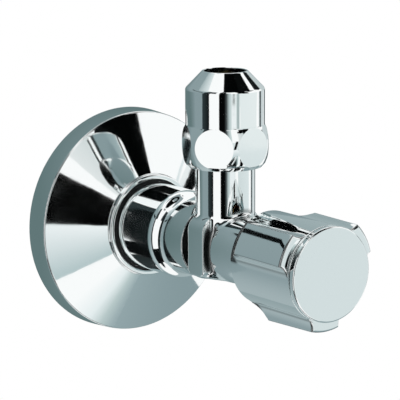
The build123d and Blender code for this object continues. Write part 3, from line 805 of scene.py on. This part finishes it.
def nut_mesh():
    """Nut as six equal sectors and one turned rest. In a sector, rings run from the flat's middle out to
    the circle where it meets the ball, and on from there over the ball to the sector's four-sided border,
    straight in angle and height, with the radius from the ball. The rest follows its outline around the
    outlet axis on the same columns."""
    low, high = nut_band
    span = math.radians(30)
    across = np.linspace(-span, span, nut_columns + 1)
    up = np.linspace(low, high, nut_sides + 1)
    border = np.concatenate(
        [
            np.stack([across[:-1], np.full(nut_columns, low)], axis=1),
            np.stack([np.full(nut_sides, span), up[:-1]], axis=1),
            np.stack([across[:0:-1], np.full(nut_columns, high)], axis=1),
            np.stack([np.full(nut_sides, -span), up[:0:-1]], axis=1),
        ]
    )
    count = len(border)
    circle_radius = math.sqrt(nut_ball_radius**2 - nut_flat**2)
    around = np.arctan2(border[:, 1] - nut_ball_height, nut_ball_radius * border[:, 0])
    circle = np.stack(
        [
            np.arctan(circle_radius * np.cos(around) / nut_flat),
            nut_ball_height + circle_radius * np.sin(around),
        ],
        axis=1,
    )
    share = np.linspace(0, 1, nut_rings + 1)[:, None, None]
    patch = circle[None] * (1 - share) + border[None] * share
    ball = np.sqrt(np.maximum(nut_ball_radius**2 - (patch[..., 1] - nut_ball_height) ** 2, 0))
    patch_angle, patch_height = patch[..., 0], patch[..., 1]
    patch = np.stack([ball * np.cos(patch_angle), ball * np.sin(patch_angle), patch_height], axis=-1)
    inner = np.linspace(0.2, 0.95, nut_disc_rings)[:, None] * circle_radius
    disc = np.stack(
        [
            np.full((nut_disc_rings, count), nut_flat),
            inner * np.cos(around),
            nut_ball_height + inner * np.sin(around),
        ],
        axis=-1,
    )
    middle = np.array([[nut_flat, 0, nut_ball_height]])
    sector = np.concatenate([np.concatenate([disc, patch]).reshape(-1, 3), middle])
    rows = nut_disc_rings + nut_rings + 1
    quads = grid_faces(rows, count, wrap_rows=False)
    around_middle = np.arange(count)
    fan = np.stack([np.full(count, rows * count), around_middle, (around_middle + 1) % count], axis=1)
    points, faces = [], []
    for k in range(6):
        angle = nut_turn + k * math.pi / 3
        cosine, sine = math.cos(angle), math.sin(angle)
        turn = np.array([[cosine, -sine, 0], [sine, cosine, 0], [0, 0, 1]])
        faces += (quads + k * len(sector)).tolist() + (fan + k * len(sector)).tolist()
        points.append(sector @ turn.T)
    base = 6 * len(sector)
    outline = np.array(
        [
            *held((nut_flat, high), nut_shoulder[0]),
            *nut_shoulder[1:-1],
            *held(nut_shoulder[-1], nut_lip[0]),
            *nut_lip[1:],
            (nut_mouth["radius"], nut_mouth["bottom"]),
            (nut_recess["radius"], nut_mouth["bottom"]),
            (nut_recess["radius"], nut_recess["bottom"]),
            (nut_bore["radius"], nut_bore["top"]),
            (nut_bore["radius"], nut_foot["bottom"]),
            (nut_foot["radius"], nut_foot["bottom"]),
            (math.sqrt(nut_ball_radius**2 - (low - nut_ball_height) ** 2), low),
        ]
    )
    columns = 6 * nut_columns
    angles = nut_turn - span + np.arange(columns) * 2 * math.pi / columns
    rest = np.stack(
        [
            outline[:, :1] * np.cos(angles),
            outline[:, :1] * np.sin(angles),
            outline[:, 1:] + 0 * angles,
        ],
        axis=-1,
    )
    points.append(rest.reshape(-1, 3))
    grid = grid_faces(len(outline), columns, wrap_rows=False, flip=True)
    faces += (grid + base).tolist()
    return np.concatenate(points) + np.array([0, -outlet_reach, 0]), faces


nut_points, nut_faces = nut_mesh()
nut = add_piece(
    "compression_nut_shell",
    nut_points,
    nut_faces,
    "nut",
    chromed_brass,
    sharp_deg=nut_sharp,
)
weld = nut.modifiers.new("weld", "WELD")
weld.merge_threshold = nut_weld * 0.001
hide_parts("compression_nut")

# Handle and its cap
# Zinc die casting, polished and chromed: a round skirt with three grip lobes that rise from the back rim,
# and a plain disc pressed into the front that hides the screw.
handle_radius = 11.2
handle_skirt = 9.7
handle_back, handle_front = 60.8, 82.3
handle_web = (78.0, 80.0)
handle_boss, handle_boss_length = 5.0, 0.8
handle_hole = 3.05
handle_recess = 8.65
handle_back_round, handle_front_round = 0.25, 0.1
handle_sharp = 24
lobe_half_width = 4.0
lobe_root = 3.6
lobe_back_step, lobe_sag = 0.2, 0.6
lobe_back_radius, lobe_front_radius = 14.3, 13.9
lobe_full, lobe_front = 65.6, 82.0
lobe_first = math.radians(30)
lobe_third = 2 * math.pi / 3
lobe_edge, lobe_edge_from, lobe_edge_growth, lobe_edge_least = 0.3, 13.5, 0.5, 0.02
lobe_end_edge = 0.7
lobe_points = dict(top=13, rim=7, side=25, skirt=24)
lobe_rows = dict(ramp=28, plain=8, end=8)
# Painted shade and painted dark reflections on the lobes: how dark their edges, the line along their roots,
# their ramps and their front ends are painted.
edge_dark = 0.45
root_line, root_line_width, root_fade = 0.4, 0.2, 0.15
ramp_dark, ramp_dark_end, ramp_dark_fade = 0.92, 0.62, 0.25
end_dark, end_dark_turn, end_dark_spread = 0.8, 0.6, 0.5


def flank_angle(radius, inset=0.0):
    """Angle from a lobe's middle line at which its side lies at a radius: a straight side parallel to the
    middle line, and below it a round root that runs out into the skirt. An inset narrows the lobe."""
    half = lobe_half_width - inset
    far = handle_radius + lobe_root
    root_middle = math.atan2(half + lobe_root, math.sqrt(far**2 - (half + lobe_root) ** 2))
    straight_from = math.hypot(far * math.cos(root_middle), half)
    cosine = (radius**2 + far**2 - lobe_root**2) / (2 * radius * far)
    in_root = root_middle - np.arccos(np.clip(cosine, -1, 1))
    on_side = np.arcsin(np.clip(half / radius, -1, 1))
    return np.where(radius >= straight_from, on_side, in_root)


def lobe_row(limit, inset, dark):
    """Radii, angles and painted shade shares of one row over a third of the handle: the lobe's top at the
    limit radius, its rounded edge, its side and root, the skirt, and the same back up to the next lobe."""
    half = lobe_half_width - inset
    edge = lobe_edge * min(max((limit - lobe_edge_from) / lobe_edge_growth, lobe_edge_least), 1)
    centre = np.array([math.sqrt((limit - edge) ** 2 - (half - edge) ** 2), half - edge])
    if limit < lobe_edge_from:
        turn = float(flank_angle(np.array(limit - edge), inset))
        centre = (limit - edge) * np.array([math.cos(turn), math.sin(turn)])
    lean = math.atan2(centre[1], centre[0])
    bend = np.linspace(lean, math.pi / 2, lobe_points["rim"])
    rim = centre + edge * np.stack([np.cos(bend), np.sin(bend)], axis=1)
    rim_radius, rim_angle = np.hypot(*rim.T), np.arctan2(rim[:, 1], rim[:, 0])
    fall = (1 - np.linspace(0, 1, lobe_points["side"] + 1)[1:]) ** 2
    down = handle_radius + (rim_radius[-1] - handle_radius) * fall
    down_angle = flank_angle(down, inset)
    root = float(flank_angle(np.array(handle_radius), inset))
    skirt = root + (lobe_third - 2 * root) * np.linspace(0, 1, lobe_points["skirt"] + 2)[1:-1]
    top = np.linspace(0, 1, lobe_points["top"] + 1)[:-1] * rim_angle[0]
    radius = np.concatenate([np.full(top.size, limit), rim_radius, down])
    angle = np.concatenate([top, rim_angle, down_angle])
    # Painted dark reflection along the lobe's rounded edge and painted shade along the line of its root.
    rim_dark = edge_dark * np.sin(np.linspace(0, math.pi, bend.size)) ** 0.5
    root_dark = edge_dark * np.exp(-(((down - handle_radius - root_line) / root_line_width) ** 2))
    painted_shade = np.maximum(np.concatenate([np.zeros(top.size), rim_dark, root_dark]), dark)
    painted_shade = painted_shade * np.clip((radius - handle_radius) / root_fade, 0, 1)
    radius = np.concatenate([radius, np.full(skirt.size, handle_radius), radius[::-1]])
    angle = np.concatenate([angle, skirt, lobe_third - angle[::-1]])
    painted_shade = np.concatenate([painted_shade, np.zeros(skirt.size), painted_shade[::-1]])
    return radius[:-1], angle[:-1], painted_shade[:-1]


def handle_mesh():
    """Handle as one closed grid. Columns go around it: from a lobe's middle down its side and root, along
    the skirt and up to the middle of the next lobe. Rows go from the web's back out over the skirt and
    lobes to the front and in again; on the outside each row is the section of the lobed bar under the row's
    largest radius."""
    ramp = np.linspace(0, 1, lobe_rows["ramp"])
    sag = ramp + lobe_sag * ramp * (ramp - 1)
    start = handle_radius + lobe_back_step
    ramp_rows = [
        (
            handle_back + (lobe_full - handle_back) * s,
            start + (lobe_back_radius - start) * h,
            0.0,
            # painted dark reflection on the back part of the ramp
            ramp_dark * min(max((ramp_dark_end - s) / ramp_dark_fade, 0), 1),
        )
        for s, h in zip(ramp, sag)
    ]
    slope = (lobe_front_radius - lobe_back_radius) / (lobe_front - lobe_full)
    plain_rows = [
        (reach, lobe_back_radius + slope * (reach - lobe_full), 0.0, 0.0)
        for reach in np.linspace(lobe_full, lobe_front - lobe_end_edge, lobe_rows["plain"] + 1)[1:]
    ]
    end_rows = [
        (
            lobe_front - lobe_end_edge * (1 - math.sin(turn)),
            lobe_front_radius - lobe_end_edge * (1 - math.cos(turn)),
            lobe_end_edge * (1 - math.cos(turn)),
            # painted dark reflection across the rounding of the lobe's front end
            end_dark * max(0, 1 - abs(turn - end_dark_turn) / end_dark_spread),
        )
        for turn in np.linspace(0, math.pi / 2, lobe_rows["end"] + 1)[1:]
    ]
    rows = ramp_rows + plain_rows + end_rows
    outside = np.array([lobe_row(limit, inset, dark) for _, limit, inset, dark in rows])
    outside_radius, outside_angle, outside_painted_shade = outside[:, 0], outside[:, 1], outside[:, 2]
    width = outside_radius.shape[1]
    outside_reach = np.array([[reach] * width for reach, _, _, _ in rows])

    def rings(*corners):
        radius, along = np.array(corners).T
        return np.repeat(radius[:, None], width, axis=1), np.repeat(along[:, None], width, axis=1)

    web_back, web_front = handle_web
    back_radius, back_reach = rings(
        (handle_hole, web_back - handle_boss_length),
        (handle_boss, web_back - handle_boss_length),
        (handle_boss, web_back),
        (handle_skirt, web_back),
        (handle_skirt, handle_back + handle_back_round),
        (handle_skirt + 0.32 * handle_back_round, handle_back + 0.32 * handle_back_round),
        (handle_skirt + handle_back_round, handle_back),
        (handle_radius - handle_front_round, handle_back),
    )
    end_radius = handle_radius + (outside_radius[-1:] - handle_radius) * np.array([[0.66], [0.33], [0.0]])
    end_reach = np.full_like(end_radius, lobe_front)
    front_radius, front_reach = rings(
        (handle_radius, handle_front - handle_front_round),
        (handle_radius - 0.3 * handle_front_round, handle_front - 0.3 * handle_front_round),
        (handle_radius - handle_front_round, handle_front),
        (handle_recess, handle_front),
        (handle_recess, web_front),
        (handle_hole, web_front),
    )
    radius = np.concatenate([back_radius, outside_radius, end_radius, front_radius])
    along = np.concatenate([back_reach, outside_reach, end_reach, front_reach])
    angle = np.concatenate(
        [
            np.repeat(outside_angle[:1], len(back_radius), axis=0),
            outside_angle,
            np.repeat(outside_angle[-1:], len(end_radius) + len(front_radius), axis=0),
        ]
    )
    # Painted shade and painted dark reflections on the lobes, and none on the rest of the handle.
    painted_shade = np.zeros_like(radius)
    painted_shade[len(back_radius) : len(back_radius) + len(rows)] = outside_painted_shade
    radius, along, painted_shade = np.tile(radius, 3), np.tile(along, 3), np.tile(painted_shade, 3)
    angle = lobe_first + np.concatenate([angle, angle + lobe_third, angle + 2 * lobe_third], axis=1)
    grid = np.stack([radius * np.cos(angle), -along, radius * np.sin(angle)], axis=-1)
    return grid.reshape(-1, 3), grid_faces(*radius.shape, flip=True), painted_shade.ravel()


chromed_zinc = chrome("chromed zinc", "#f8fbfb")
handle_points, handle_faces, handle_painted_shade = handle_mesh()
handle = add_piece(
    "handle_casting",
    handle_points,
    handle_faces,
    "handle_group",
    chromed_zinc,
    sharp_deg=handle_sharp,
    painted_shade=handle_painted_shade,
)
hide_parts("handle")
dress(stainless_steel, "handle_screw")
cap_back, cap_front = 82.3, 84.0
cap_spigot = dict(inside=7.6, outside=8.6, back=80.7)
cap_seam = dict(radius=10.2, front=82.6)
cap_rim, cap_rim_round, cap_seam_round = 11.2, 0.5, 0.12
cap_columns = 192
cap_profile = rounded_profile(
    [
        (0, cap_back),
        (cap_spigot["inside"], cap_back),
        (cap_spigot["inside"], cap_spigot["back"]),
        (cap_spigot["outside"], cap_spigot["back"]),
        (cap_spigot["outside"], cap_back),
        (cap_seam["radius"], cap_back),
        (cap_seam["radius"], cap_seam["front"]),
        (cap_rim, cap_seam["front"]),
        (cap_rim, cap_front),
        (0, cap_front),
    ],
    [0, 0, 0, 0, 0, 0, 0, cap_seam_round, cap_rim_round, 0],
)
cap_points, cap_faces, cap_normals = turned_mesh(cap_profile, cap_columns)
cap = add_piece(
    "handle_cap_disc",
    cap_points,
    cap_faces,
    "handle_group",
    chromed_zinc,
    corner_normals=cap_normals,
)
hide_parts("handle_cap")
